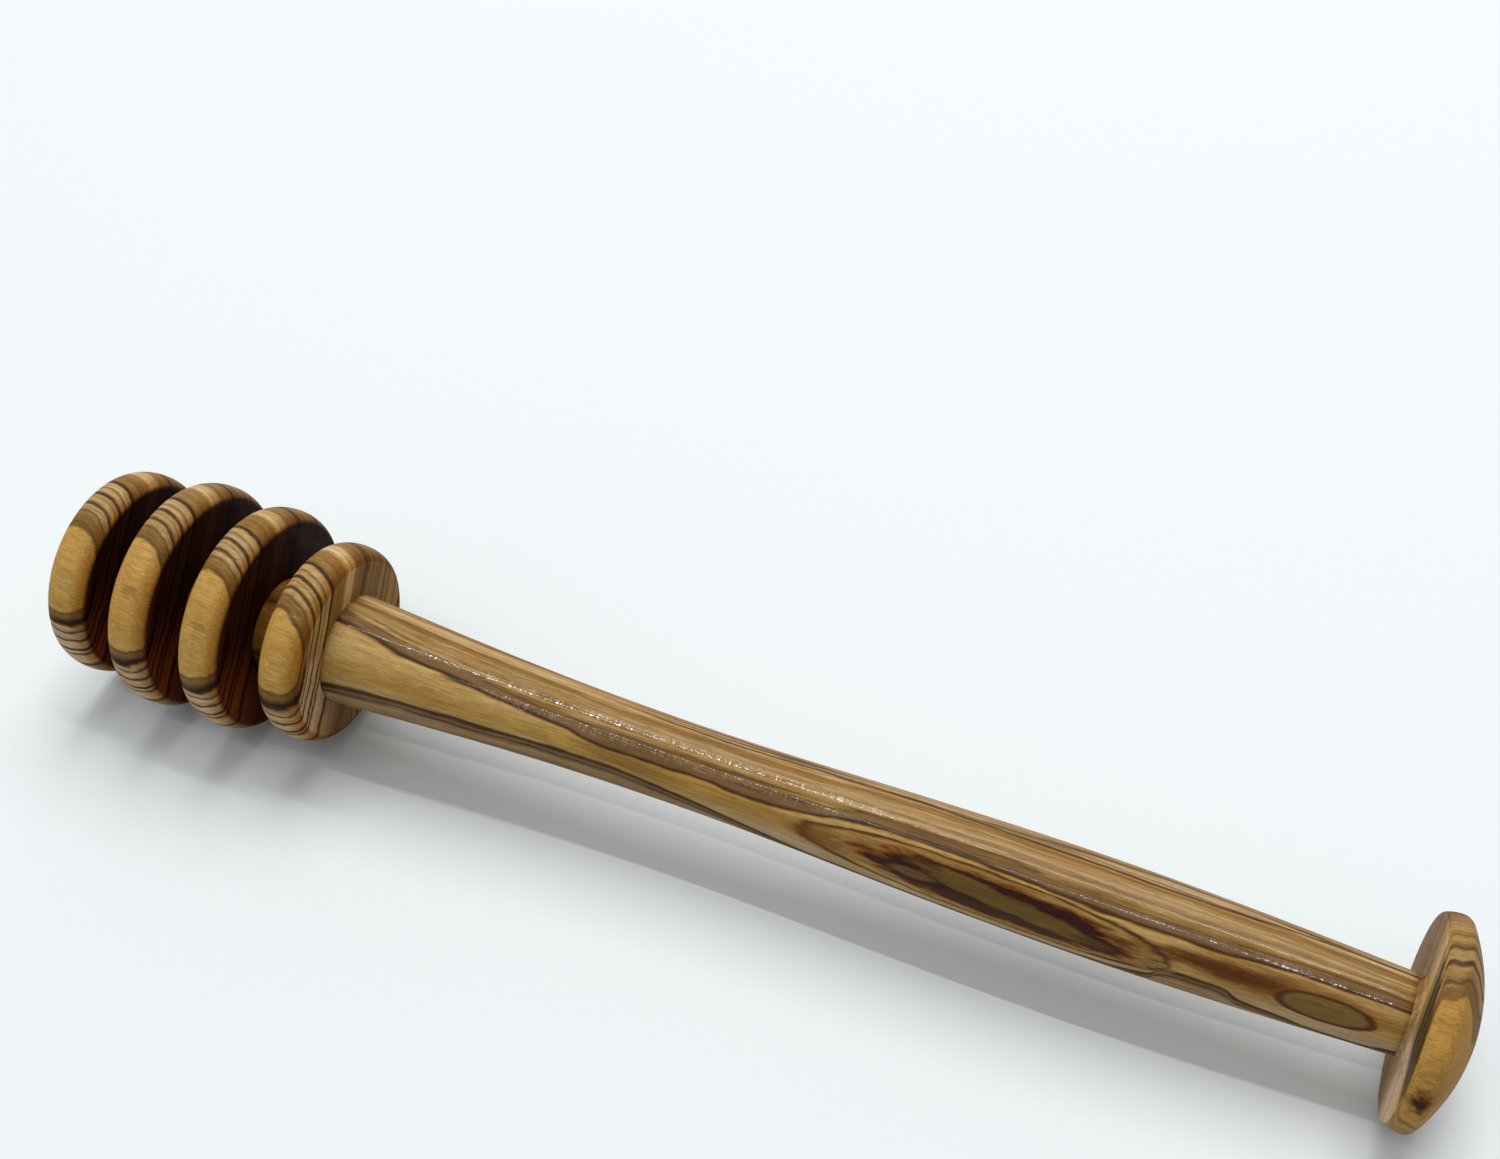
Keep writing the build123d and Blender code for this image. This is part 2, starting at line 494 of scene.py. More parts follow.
# How far the layers lie from flat at a place, how far that place is from the middle of its disc, and
# whether it is on the side of the disc that faces the handle.
def layerArch(tree, place, look):
    withinDisc = calc(tree, "MODULO", plus(tree, place["Station"], look["pitchStart"]), look["pitch"])
    withinDisc = minus(tree, withinDisc, look["pitch"] / 2)
    handleSide = calc(tree, "GREATER_THAN", withinDisc, 0)
    arch = curveValue(tree, place["Station"], look["arch"])
    arch = minus(tree, arch, times(tree, withinDisc, curveValue(tree, place["Side"], look["slope"])))
    # the rim's rounding shows less in the lines than it would in flat layers
    rimPlace = calc(tree, "ABSOLUTE", calc(tree, "DIVIDE", withinDisc, look["rimHalf"]))
    rimPlace = calc(tree, "MINIMUM", rimPlace, 1)
    rimDrop = minus(tree, 1, calc(tree, "SQRT", minus(tree, 1, times(tree, rimPlace, rimPlace))))
    flattenTip = reshape(tree, place["Side"], look["flattenSides"], look["flattenTipSide"])
    flattenHandle = reshape(tree, place["Side"], look["flattenSides"], look["flattenHandleSide"])
    flatten = plus(tree, flattenTip, times(tree, handleSide, minus(tree, flattenHandle, flattenTip)))
    outward = reshape(tree, place["Depth"], look["flattenDepth"], (0, 1))
    return plus(tree, arch, times(tree, rimDrop, flatten, outward)), withinDisc, handleSide


# Oil soaks into end grain and darkens it, most of all in the grooves, where the tints add painted shade; on
# the button's underside the tint is a painted sheen.
def soakAndShadeEndGrain(tree, colour, place, look, handleSide):
    comesIn, diesOut = look["grooveStations"]
    inGroove = reshape(tree, place["Station"], comesIn, (0, 1))
    inGroove = times(tree, inGroove, reshape(tree, place["Station"], diesOut, (1, 0)))
    low = ease(tree, place["Side"], look["lowSides"], (0, 1))
    # groove tints: the oil's darkening with painted shade, deepest on faces turned to the handle, lighter
    # and redder low down
    groove = mixColour(tree, low, look["handleSideSoakAndShade"], look["lowHandleSideSoakAndShade"])
    groove = mixColour(tree, handleSide, look["tipSideSoakAndSheen"], groove)
    soakedAndShaded = tinted(tree, colour, mixColour(tree, inGroove, look["outerFaceTint"], groove))
    nearHeart = minus(tree, place["Depth"], times(tree, place["Side"], look["heartLean"]))
    nearHeart = calc(tree, "MINIMUM", place["Depth"], nearHeart)
    tipSideShade = reshape(tree, nearHeart, look["heartDepth"], (1, look["tipSideHeart"]))
    soakedAndShaded = shaded(tree, soakedAndShaded, calc(tree, "MAXIMUM", tipSideShade, handleSide))
    return mixColour(tree, ease(tree, place["End Grain"], look["soakAndShadeRange"], (0, 1)), colour, soakedAndShaded)


# Wood whose bands follow flat layers, with one order of bands above the pale heart and one below.
def layeredWood(name, look):
    material, tree, shader = newMaterial(name)
    station = useGroup(tree, placeGroup, {})["Station"]
    facing = reshape(tree, station, look["facingStations"], look["facing"])
    place = useGroup(tree, placeGroup, {"Facing": facing})
    arch, withinDisc, handleSide = layerArch(tree, place, look)
    depth = plus(tree, place["Depth"], arch, look["lift"])
    drift = reshape(tree, place["Side"], look["driftSides"], look["drift"])
    layers, fibres = useGrain(tree, place, depth, drift)
    layer = layers["Layer"]
    upper = rampColour(tree, layer, look["upperBands"], look["span"])
    lower = rampColour(tree, layer, look["lowerBands"], look["span"])
    colour = mixColour(tree, ease(tree, place["Side"], look["seamSides"], (0, 1)), upper, lower)
    fine = times(
        tree, reshape(tree, layer, look["heartEdge"], (1, look["linesInHeart"])),
        reshape(tree, layer, look["fineLayers"], look["fineLines"]),
    )
    colour = mixColour(tree, times(tree, layers["Fine Lines"], fine), colour, palette["brown"])
    bold = reshape(tree, layer, look["boldLayers"], (look["boldLines"], 0))
    colour = mixColour(tree, times(tree, layers["Bold Lines"], bold), colour, palette["dark"])
    for knotStation, knotSide, length, width, strength, tint in look["knots"]:
        given = {label: place[label] for label in grainSpace}
        given.update({"Knot Station": knotStation, "Knot Side": knotSide, "Length": length, "Width": width})
        mark = useGroup(tree, knotGroup, given)["Mark"]
        colour = mixColour(tree, times(tree, mark, strength), colour, palette[tint])
    # painted shade on the rim, from its middle to the handle's side
    grooveRimShade = ease(tree, withinDisc, look["grooveRimShadeZone"], (0, look["grooveRimShadeStrength"]))
    grooveRimShade = times(tree, grooveRimShade, reshape(tree, place["End Grain"], look["flatFace"], (1, 0)))
    colour = mixColour(tree, grooveRimShade, colour, tinted(tree, colour, look["grooveRimShadeTint"]))
    colour = fibreColour(tree, colour, fibres, look)
    colour = soakAndShadeEndGrain(tree, colour, place, look, handleSide)
    oilWood(tree, shader, colour, place, fibres, look)
    return material


# Discs: flat faces, rims rounded to half an ellipse, small eased corners where rim and face meet
discLook = {
    "wobble": 0.00006, "seedStep": 3.7, "easedCorner": 0.00018, "rimSteps": 28, "faceSteps": 10,
    "facingStations": (0, 36), "facing": (131, 143),  # the layers turn a little from tip to collar
    # how much deeper the layers lie than at the fullest part of the head: (station, millimetres)
    "arch": [
        (0, 0.92), (6, 0.86), (10, 0.06), (16, 0.03), (20.5, 0.2), (26.5, 0.24), (31, 1.62), (34, 1.39),
        (37, 1.1),
    ],
    # lean of the layers in each disc: (side, millimetres in a millimetre)
    "slope": [(-16, 0.15), (-11, 0.14), (-6, 0.08), (-2, 0.02), (3, 0.02), (7, 0.1), (14, 0.1)],
    "pitchStart": 2.25, "pitch": 10.3, "lift": 0,  # discs repeat by the pitch
    # how much of the rim's rounding the lines leave out, above and below and towards tip and handle
    "rimHalf": 2.9, "flattenDepth": (0, 14), "flattenSides": (-6, 6),
    "flattenTipSide": (0.9, 1.1), "flattenHandleSide": (0.25, 0.9),
    "driftSides": (0, 5), "drift": (0.3, 0.62),
    "fineLayers": (6.5, 9), "fineLines": (0.5, 0.4), "boldLayers": (0, 3), "boldLines": 0.9,
    "heartEdge": (13.3, 13.5), "linesInHeart": 0.2, "seamSides": (-1.5, 1.5),
    # tints from the deepest layers out to the pale heart: (layer, tint)
    "span": (-15, 16),
    "upperBands": [
        (-15, "gold"), (-6, "tan"), (0.6, "gold"), (1.2, "dark"), (1.7, "gold"), (3.7, "gold"),
        (4.2, "pale"), (5.4, "pale"), (5.9, "gold"), (8.2, "gold"), (8.45, "dark"), (8.75, "dark"),
        (8.95, "creamLow"), (9.6, "creamLow"), (9.75, "brown"), (9.9, "creamLow"), (10.3, "creamLow"),
        (10.48, "dark"), (10.72, "dark"), (10.88, "creamLow"), (11.15, "gold"), (11.3, "creamLow"),
        (11.58, "tan"), (11.68, "dark"), (11.85, "dark"), (11.98, "creamLow"), (12.3, "tan"),
        (12.45, "brown"), (12.6, "gold"), (13.15, "honey"), (13.3, "dark"), (13.42, "cream"),
    ],
    # the grey tan in these lower bands holds painted sheen and light from the floor
    "lowerBands": [
        (-15, "gold"), (-9, "tan"), (0, "mauve"), (4.9, "shadedTan"), (5.2, "brown"), (5.7, "brown"),
        (6.1, "greyTanAndSheen"), (7.9, "greyTanAndSheen"), (8.1, "dark"), (8.3, "dark"), (8.45, "greyTanAndSheen"),
        (8.65, "greyTanAndSheen"), (8.82, "dark"), (9.1, "dark"), (9.3, "greyTanAndSheen"), (10.15, "greyTanAndSheen"),
        (10.3, "brown"), (10.5, "dark"), (10.7, "greyTanAndSheen"), (11.3, "greyTanAndSheen"), (11.42, "brown"),
        (11.55, "brown"), (11.68, "greyTanAndSheen"), (12.0, "tan"), (12.18, "dark"), (12.3, "black"),
        (12.5, "black"), (12.7, "brown"), (12.9, "honey"), (13.2, "honey"), (13.32, "brown"),
        (13.44, "cream"),
    ],
    # (station, side, length, width, strength, tint)
    "knots": [(13.2, -0.6, 1.6, 1.1, 0.4, "brown"), (23.4, -0.3, 1.4, 0.7, 0.35, "brown")],
    # painted shade: the rim darkens from its middle to the handle's side, but not the flat face there
    "grooveRimShadeTint": (0.62, 0.42, 0.16, 1), "grooveRimShadeZone": (0.6, 2.6), "grooveRimShadeStrength": 0.9,
    "flatFace": (0.97, 0.999),
    "streaks": 0.34, "pores": 0.35, "blush": 0.6, "blushTint": (0.86, 0.76, 0.55, 1),
    # end grain: where the grooves begin and end, how square to the axis a face soaks, and its tints; in the
    # grooves they hold painted shade as well as the oil's darkening, deepest on faces turned to the handle
    "grooveStations": ((0.2, 0.5), (36.2, 36.6)), "soakAndShadeRange": (0.6, 0.97),
    "lowSides": (0, 10), "heartLean": 0.9, "heartDepth": (4.5, 7), "tipSideHeart": 1,
    "handleSideSoakAndShade": (0.095, 0.034, 0.011, 1), "lowHandleSideSoakAndShade": (0.3, 0.088, 0.022, 1),
    "tipSideSoakAndSheen": (0.34, 0.2, 0.11, 1), "outerFaceTint": (1, 0.91, 0.78, 1),
    "gloss": 0.05, "glint": 0.12, "toolMarks": 0.06, "bump": 0.5, "coatRoughness": 0.1, "coatIor": 1.5,
}


# Closed profile of a disc, with its bore right through or blind.
def discProfile(start, radius, bored):
    end = start + discThickness
    shoulder = radius - rimDepth
    eased = shoulder - discLook["easedCorner"]
    bore = coreRadius + glueLine
    points = straight((start, bore if bored else 0), (start, eased), discLook["faceSteps"])
    rimMiddle = (start + discThickness / 2, shoulder)
    points += arcPoints(rimMiddle, (discThickness / 2, rimDepth), 180, 0, discLook["rimSteps"])
    points += straight((end, eased), (end, bore), discLook["faceSteps"])
    if bored:
        return points + [(start, bore)]
    return points + [(start + tipWall, bore), (start + tipWall, 0)]


discMaterial = layeredWood("disc_wood", discLook)
discNames = ["tip_disc", "second_disc", "third_disc", "collar_disc"]
for index, node in enumerate(discNames):
    profile = discProfile(discStarts[index], discRadii[index], index > 0)
    disc = turnPiece(node, profile, discLook, discLook["seedStep"] * index)
    disc.data.materials.append(discMaterial)
print("discs done:", len(discNames))

# Core: plain bar with its tenon, all of it inside the discs and the handle but for the three grooves
coreLook = {
    **discLook, "wobble": 0.00004, "seed": 21, "steps": 90, "endSteps": 4,
    "facingStations": (0, 45), "facing": (137, 137), "arch": [(0, 0), (45, 0.01)],
    "slope": [(-7, 0), (7, 0.001)], "flattenTipSide": (0, 0), "flattenHandleSide": (0, 0),
    "drift": (0.3, 0.3), "span": (-7, 7), "heartEdge": (8.9, 9.1), "boldLines": 0.8, "knots": [],
    "upperBands": [
        (-7, "gold"), (-2, "mauve"), (0.5, "gold"), (3, "tan"), (4.8, "mauve"), (5.2, "dark"),
        (5.5, "gold"), (7, "gold"),
    ],
    "lowerBands": [
        (-7, "gold"), (-1, "mauve"), (1, "brown"), (3, "mauve"), (4.4, "dark"), (4.8, "mauve"),
        (5.3, "black"), (5.7, "gold"), (7, "gold"),
    ],
}
coreStart = tipWall + endGap
corePoints = straight((coreStart, 0), (coreStart, coreRadius), coreLook["endSteps"])
corePoints += straight((coreStart, coreRadius), (handleStart, coreRadius), coreLook["steps"])
corePoints += [(handleStart, coreTenonRadius), (coreTenonEnd, coreTenonRadius), (coreTenonEnd, 0)]
core = turnPiece("head_core", corePoints, coreLook, coreLook["seed"])
core.data.materials.append(layeredWood("core_wood", coreLook))
print("core done")

# Handle: the same swell as the solid, drawn much finer. Travel is in millimetres from the head, and
# angles are in degrees round from the middle of the pale figure.
handleLook = {
    "wobble": 0.00005, "seed": 40, "steps": 220,
    "swellShares": (0, 0.08, 0.2, 0.4, 0.6, 0.8, 1),
    "swellRadii": (0.0072, 0.00645, 0.00555, 0.0051, 0.00575, 0.0058, endRadius),
    "facing": 150, "drift": 0.4,
    # where dark lines and the pale figure's edges run: (travel, angle)
    "upperEdge": [
        (0, -49), (5, -44), (10, -37), (15, -33), (20, -29), (25, -24), (32, -20), (38, -12), (45, -12),
        (50, -14), (56, -11), (61, -14), (65, -19), (68, -25), (73, -30), (80, -31), (90, -27),
        (100, -23), (110, -23), (117, -27), (125, -29), (134, -28),
    ],
    "lowerEdge": [
        (0, 22), (5, 18), (10, 16), (20, 16), (30, 13), (38, 12), (42, 15), (45, 18), (50, 24), (55, 32),
        (60, 40), (66, 47), (75, 50), (90, 52), (98, 50), (103, 43), (105.5, 36), (106.6, 22),
        (108, 17.5), (110, 16.5), (112.5, 17), (114, 20), (115, 28), (117, 33), (120, 37), (123, 43),
        (127, 47), (131, 40), (134, 34),
    ],
    "crestLine": [
        (0, -96), (20, -92), (33, -87), (38, -85), (44, -82), (50, -81), (60, -83), (70, -84),
        (80, -81), (95, -77), (105, -76), (112, -78), (118, -83), (126, -87), (134, -89),
    ],
    # noise over the skin, in millimetres of travel and degrees, with a seed
    "wander": ((0.2, 0.1, 4.1), 3, 0.5), "edgeWander": 3.5,
    "strand": ((0.07, 0.3, 2.3), 4, 0.62), "strands": 20,
    "upperStrandZone": (-12, -3), "lowerStrandZone": (-13, -9), "calmTravel": (80, 105), "calmStrands": 0.4,
    "ragged": ((0.28, 0.16, 9.7), 4, 0.6), "raggedSpread": (0.2, 0.8), "raggedness": 0.26, "smooth": 0.2,
    # tints outside the figure: (degrees from its edge, tint)
    "aboveBands": [
        (-75, "gold"), (-68, "tan"), (-62, "creamLow"), (-56, "creamLow"), (-51, "tan"), (-47, "honey"),
        (-43, "gold"), (-39, "tan"), (-35, "gold"), (-32, "tan"), (-28, "gold"), (-25, "honey"),
        (-22, "tan"), (-19.5, "tan"), (-17, "gold"), (-15, "honey"), (-13.8, "brown"), (-12.4, "mauve"),
        (-10, "honey"), (-8, "mauve"), (-5.5, "ashBrown"), (-4, "mauve"), (-2.6, "brown"),
        (-1.3, "dark"), (0.1, "dark"), (1.2, "honey"), (2.8, "figureDeep"), (4, "figure"), (8, "figure"),
    ],
    "belowBands": [
        (-60, "ashTan"), (-40, "ashTan"), (-34, "ashBrown"), (-28, "ashTan"), (-15, "ashTan"),
        (-12, "ashBrown"), (-10.4, "brown"), (-9.2, "dark"), (-7.6, "ashBrown"), (-5, "mauve"),
        (-3.6, "brown"), (-2.2, "dark"), (0.2, "dark"), (1.6, "honey"), (3.4, "figureMid"),
        (9, "figureMid"),
    ],
    # far above the figure the bands follow its edge only loosely: (share of the edge, degrees)
    "looseEdge": (0.35, -17), "looseZone": (-24, -14),
    # the dark line along the crest, and behind it a paler, greyer tint that is painted sheen
    "crestTravel": (30, 46), "crestSides": (-1, 1), "crestWidth": (1.1, 3),
    "crestSheenAngles": (-4, 0), "crestSheenStrength": 0.5,
    # the pale figure's own tints round it: (angle, tint)
    "figureFade": (1.6, 3.6),
    "figureTints": [
        (-45, "figure"), (-18, "figure"), (-2, "figureDeep"), (13, "figureMid"), (28, "figureUnder"),
        (60, "figureUnder"),
    ],
    # marks in the figure: (travel, angle, half length, half height in degrees, slope, squareness)
    "eye": (85, 7, 22, 31, 0.16, 2.6),
    "stain": (87, 7, 14.8, 22, 0.25, 2.4),
    "heart": (88, 4.5, 12.8, 12, 0.92, 2.6),
    "smallEye": (124.2, 3, 5.2, 17, 0, 2.2),
    "squareTravel": (-0.6, 0.5),  # where along a mark its squareness comes in
    "markEdge": 0.06,
    # soft patches: (mark, distances over which it fades, strength, tint)
    "smudge": ((41, -1, 9, 17, 0.4, 2), (0.3, 1.1), 0.6, "honey"),
    "tipGlow": ((67, 5, 6.5, 17, 0, 2), (0.4, 1.2), 0.75, "amber"),
    "ash": ((77.5, 9, 3.2, 6, 0, 2), (0.7, 1.1), 0.7, "mauve"),
    "surround": ((120.5, -6, 14.5, 24, 0, 2.2), (0.4, 1.15), 0.8, "amber"),
    "bridge": ((113, -5, 12, 12, 0, 2), (0.3, 1.15), 0.95, "ember"),
    # the dark lower edge of the stain
    "underAngles": (12, 20), "underDistance": (0.9, 1.02), "underStrength": 0.8,
    # tints from the middle of a mark to its outline: (distance, tint)
    "eyeBands": [
        (0, "gold"), (0.65, "gold"), (0.85, "figureMid"), (0.93, "gold"), (0.965, "brown"),
        (0.985, "dark"), (1.0, "brown"), (1.03, "gold"), (1.07, "figureMid"),
    ],
    "stainBands": [
        (0, "redBrown"), (0.93, "redBrown"), (0.98, "ember"), (1.05, "amber"), (1.18, "gold"),
        (1.3, "gold"),
    ],
    "heartBands": [(0, "olive"), (0.7, "olive"), (1, "redBrown")],
    "smallEyeBands": [
        (0, "smallOlive"), (0.8, "smallOlive"), (0.93, "dark"), (0.99, "ember"), (1.08, "amber"),
        (1.12, "honey"),
    ],
    # where the oil glints: (angle, half width, travel where it comes in, travel where it dies out)
    "shineBands": [
        (-48, 6, (6, 16), (42, 88)), (-27, 6, (18, 26), (60, 74)), (-34, 6, (84, 120), (150, 160)),
    ],
    # fine lines fade into the figure, bold ones show on the back
    "fineZone": (-3, 1), "fineLines": (0.3, 0.1), "backDepth": (0, 2.5), "boldLines": 0.85,
    "streaks": 0.34, "pores": 0.4, "blush": 0.6, "blushTint": (0.84, 0.7, 0.45, 1),
    "gloss": 0.05, "glint": 1, "toolMarks": 0.03, "bump": 0.45, "coatRoughness": 0.1, "coatIor": 2.3,
}


# How much a natural cubic through the swell's radii bends at each of them.
def swellBends(shares, radii):
    gaps = [after - before for before, after in zip(shares, shares[1:])]
    slopes = [(after - before) / gap for before, after, gap in zip(radii, radii[1:], gaps)]
    bends, carried = [0], [0]
    for index in range(1, len(gaps)):
        pivot = 2 * (gaps[index - 1] + gaps[index]) - gaps[index - 1] * carried[-1]
        carried.append(gaps[index] / pivot)
        turn = 6 * (slopes[index] - slopes[index - 1])
        bends.append((turn - gaps[index - 1] * bends[-1]) / pivot)
    bends.append(0)
    for index in range(len(gaps) - 1, 0, -1):
        bends[index] -= carried[index] * bends[index + 1]
    return bends


# Radius of the handle at a share of its length.
def swellRadius(share, shares, radii, bends):
    index = max(number for number in range(len(shares) - 1) if shares[number] <= share)
    gap = shares[index + 1] - shares[index]
    radius = 0
    for end, left in ((index, shares[index + 1] - share), (index + 1, share - shares[index])):
        radius += bends[end] * left**3 / (6 * gap) + (radii[end] / gap - bends[end] * gap / 6) * left
    return radius


swell = (handleLook["swellShares"], handleLook["swellRadii"])
swell += (swellBends(*swell),)
handleShares = [step / handleLook["steps"] for step in range(handleLook["steps"] + 1)]
handlePoints = [(handleStart + share * handleLength, swellRadius(share, *swell)) for share in handleShares]
buttonTenonEnd = buttonSocketEnd - endGap
coreSocketEnd = coreTenonEnd + endGap
coreSocketRadius = coreTenonRadius + glueLine
handlePoints += [(handleEnd, buttonTenonRadius), (buttonTenonEnd, buttonTenonRadius), (buttonTenonEnd, 0)]
handlePoints += [(coreSocketEnd, 0), (coreSocketEnd, coreSocketRadius), (handleStart, coreSocketRadius)]
handle = turnPiece("handle", handlePoints, handleLook, handleLook["seed"])


# Noise over the handle's skin.
def skinCloud(tree, skin, look):
    return stretchedCloud(tree, (skin["travel"], skin["angle"], 1), look)


# Distance from the middle of a mark, 1 on its outline, which drift makes ragged.
def markDistance(tree, skin, mark, drift):
    travel, angle, halfLength, halfHeight, slope, square = mark
    fromMiddle = minus(tree, skin["travel"], travel)
    alongIt = calc(tree, "DIVIDE", fromMiddle, halfLength)
    leaned = minus(tree, minus(tree, skin["angle"], angle), times(tree, fromMiddle, slope))
    acrossIt = calc(tree, "DIVIDE", leaned, halfHeight)
    squareness = reshape(tree, alongIt, handleLook["squareTravel"], (min(square, 2), square))
    powers = [calc(tree, "POWER", calc(tree, "ABSOLUTE", part), squareness) for part in (alongIt, acrossIt)]
    distance = calc(tree, "POWER", plus(tree, *powers), calc(tree, "DIVIDE", 1, squareness))
    return plus(tree, distance, drift)


# Where a point lies on the handle's skin, and how many degrees it is inside the figure's two edges.
def handleSkin(tree, place, look):
    skin = {"travel": minus(tree, place["Station"], handleStart * millimetres)}
    skin["angle"] = calc(tree, "DEGREES", calc(tree, "ARCTAN2", place["Side"], place["Depth"]))
    wander = skinCloud(tree, skin, look["wander"])
    wander = reshape(tree, wander, (0, 1), (-look["edgeWander"], look["edgeWander"]))
    skin["bent"] = plus(tree, skin["angle"], wander)
    skin["upperEdge"] = curveValue(tree, skin["travel"], look["upperEdge"])
    skin["above"] = minus(tree, skin["bent"], skin["upperEdge"])
    skin["below"] = minus(tree, curveValue(tree, skin["travel"], look["lowerEdge"]), skin["bent"])
    skin["inside"] = calc(tree, "MINIMUM", skin["above"], skin["below"])
    skin["figure"] = reshape(tree, skin["inside"], look["figureFade"], (0, 1))
    return skin


# The streaked bands above and below the figure, and the figure's own tints.
def bandColour(tree, skin, look):
    strand = times(tree, minus(tree, skinCloud(tree, skin, look["strand"]), 0.5), look["strands"])
    upperStreak = times(
        tree, strand, reshape(tree, skin["above"], look["upperStrandZone"], (1, 0)),
        reshape(tree, skin["travel"], look["calmTravel"], (1, look["calmStrands"])),
    )
    lowerStreak = times(tree, strand, reshape(tree, skin["below"], look["lowerStrandZone"], (1, 0)))
    share, turned = look["looseEdge"]
    loose = minus(tree, skin["bent"], plus(tree, times(tree, skin["upperEdge"], share), turned))
    farAway = reshape(tree, skin["above"], look["looseZone"], (1, 0))
    close = times(tree, skin["above"], minus(tree, 1, farAway))
    upperPlace = plus(tree, times(tree, loose, farAway), close, upperStreak)
    upper = rampColour(tree, upperPlace, look["aboveBands"])
    lower = rampColour(tree, plus(tree, skin["below"], lowerStreak), look["belowBands"])
    colour = mixColour(tree, calc(tree, "GREATER_THAN", skin["above"], skin["below"]), upper, lower)
    return mixColour(tree, skin["figure"], colour, rampColour(tree, skin["angle"], look["figureTints"]))


# The dark line along the handle's crest, with painted sheen, paler and greyer, behind it.
def crestColour(tree, colour, skin, place, look):
    crest = minus(tree, skin["bent"], curveValue(tree, skin["travel"], look["crestLine"]))
    shown = reshape(tree, skin["travel"], look["crestTravel"], (0, 1))
    shown = times(tree, shown, reshape(tree, place["Side"], look["crestSides"], (1, 0)))
    # painted sheen behind the crest
    behind = reshape(tree, crest, look["crestSheenAngles"], (look["crestSheenStrength"], 0))
    colour = mixColour(tree, times(tree, behind, shown), colour, palette["shadedTan"])
    line = ease(tree, calc(tree, "ABSOLUTE", crest), look["crestWidth"], (1, 0))
    return mixColour(tree, times(tree, line, shown), colour, palette["brown"])


# A soft patch of one tint.
def patchColour(tree, colour, skin, patch, drift, within=1, fade=ease):
    mark, fades, strength, tint = patch
    amount = fade(tree, markDistance(tree, skin, mark, drift), fades, (strength, 0))
    return mixColour(tree, times(tree, amount, within), colour, palette[tint])


# The smudge, the long eye with its red stain and olive heart, and the small eye by the button.
def markColours(tree, colour, skin, look):
    figure = skin["figure"]
    colour = patchColour(tree, colour, skin, look["smudge"], 0, figure)
    raggedness = (-look["raggedness"], look["raggedness"])
    ragged = reshape(tree, skinCloud(tree, skin, look["ragged"]), look["raggedSpread"], raggedness)
    smooth = times(tree, ragged, look["smooth"])
    for label, drift in (("eye", smooth), ("stain", ragged), ("heart", ragged), ("smallEye", smooth)):
        bands = look[label + "Bands"]
        edge = bands[-1][0]
        distance = markDistance(tree, skin, look[label], drift)
        inside = reshape(tree, distance, (edge - look["markEdge"], edge), (1, 0))
        colour = mixColour(tree, inside, colour, rampColour(tree, distance, bands))
        if label == "eye":
            colour = patchColour(tree, colour, skin, look["tipGlow"], smooth)
        if label == "stain":
            under = reshape(tree, skin["angle"], look["underAngles"], (0, look["underStrength"]))
            under = times(tree, under, reshape(tree, distance, look["underDistance"], (1, 0)))
            colour = mixColour(tree, under, colour, palette["dark"])
            colour = patchColour(tree, colour, skin, look["ash"], ragged, fade=reshape)
            for patch in ("surround", "bridge"):
                colour = patchColour(tree, colour, skin, look[patch], ragged, figure)
    return colour


# Where the oil may glint.
def shineZone(tree, skin, look):
    shine = 0
    for angle, halfWidth, comesIn, diesOut in look["shineBands"]:
        fromMiddle = calc(tree, "ABSOLUTE", minus(tree, skin["angle"], angle))
        band = times(
            tree, ease(tree, fromMiddle, (halfWidth / 2, halfWidth), (1, 0)),
            reshape(tree, skin["travel"], comesIn, (0, 1)), reshape(tree, skin["travel"], diesOut, (1, 0)),
        )
        shine = calc(tree, "MAXIMUM", shine, band)
    return shine


# The handle's wood: streaks, a pale figure between two wandering dark edges, and the eyes in it.
def figuredWood(name, look):
    material, tree, shader = newMaterial(name)
    place = useGroup(tree, placeGroup, {"Facing": look["facing"]})
    layers, fibres = useGrain(tree, place, place["Depth"], look["drift"])
    skin = handleSkin(tree, place, look)
    colour = bandColour(tree, skin, look)
    colour = crestColour(tree, colour, skin, place, look)
    colour = markColours(tree, colour, skin, look)
    outside = reshape(tree, skin["inside"], look["fineZone"], look["fineLines"])
    colour = mixColour(tree, times(tree, layers["Fine Lines"], outside), colour, palette["brown"])
    back = reshape(tree, place["Depth"], look["backDepth"], (look["boldLines"], 0))
    colour = mixColour(tree, times(tree, layers["Bold Lines"], back), colour, palette["dark"])
    colour = fibreColour(tree, colour, fibres, look)
    oilWood(tree, shader, colour, place, fibres, look, shineZone(tree, skin, look))
    return material


handle.data.materials.append(figuredWood("handle_wood", handleLook))
print("handle done")

